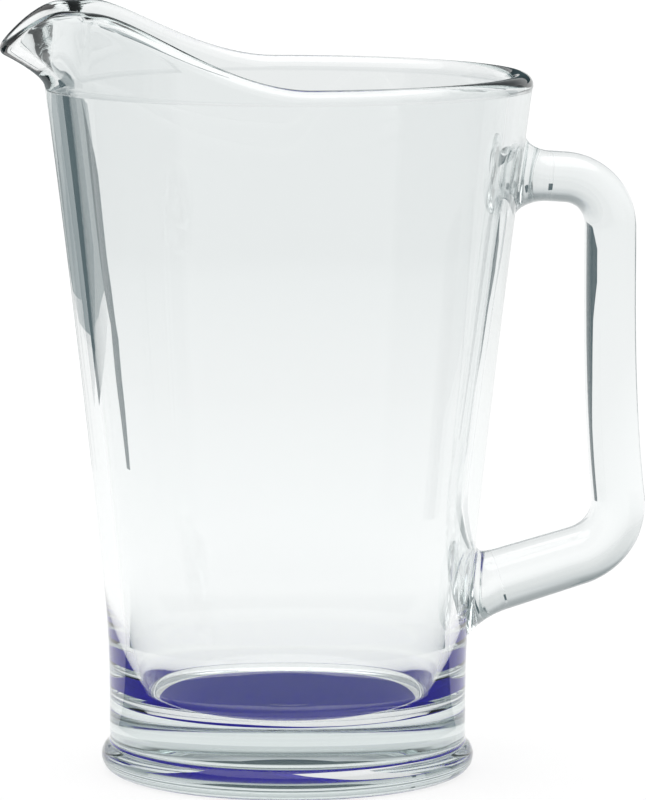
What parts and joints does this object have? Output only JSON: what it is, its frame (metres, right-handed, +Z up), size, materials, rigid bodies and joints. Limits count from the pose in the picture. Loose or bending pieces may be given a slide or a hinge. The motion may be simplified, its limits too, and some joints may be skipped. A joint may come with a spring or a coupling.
{
  "type": "beer pitcher",
  "caption": "Heavy clear glass pitcher with a leaning round wall, raised pouring spout, looped side handle and a thick violet-tinted base on a rounded foot.",
  "frame": {"origin": "on the vessel's axis, in the plane of the flat ring that the foot stands on", "axes": "+Z up along the vessel's axis, the spout points along -X and the handle along +X, +Y across the handle"},
  "size_m": [0.1917, 0.144, 0.2278],
  "materials": {
    "clear_glass": "fire-polished pressed soda-lime glass",
    "violet_coat": "translucent violet colour coat"
  },
  "bodies": {
    "root": {"body": "clear_glass", "handle": "clear_glass", "upper_handle_pad": "clear_glass", "lower_handle_pad": "clear_glass", "base_colour_coat": "violet_coat"}
  },
  "joints": []
}
